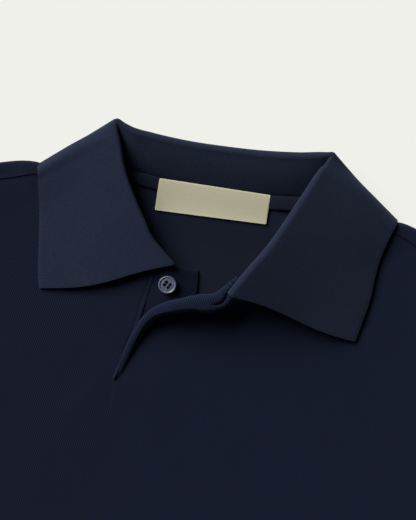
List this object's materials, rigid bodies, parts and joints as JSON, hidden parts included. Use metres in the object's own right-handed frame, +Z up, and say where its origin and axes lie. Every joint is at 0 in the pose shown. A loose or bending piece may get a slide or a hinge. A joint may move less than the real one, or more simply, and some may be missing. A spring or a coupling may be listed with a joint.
{
  "type": "polo shirt",
  "caption": "Short-sleeved knit polo shirt laid flat on its back, with its collar spread, its neck open and one placket edge turned back below the button.",
  "frame": {"origin": "bottom centre of the shirt's bounding box, on the surface it lies on", "axes": "+X to the wearer's left, +Y from the hem to the head, +Z up from the surface the shirt lies on"},
  "size_m": [0.8472, 0.7332, 0.0362],
  "materials": {
    "body_cloth": "matte",
    "collar_cloth": "matte",
    "label_satin": "satin",
    "button": "satin"
  },
  "bodies": {
    "root": {"back": "body_cloth", "front": "body_cloth", "sleeve_wearers_right": "body_cloth", "sleeve_wearers_left": "body_cloth", "collar": "collar_cloth", "under_placket": "body_cloth", "neck_tape": "body_cloth", "label": "label_satin", "button": "button"}
  },
  "joints": []
}
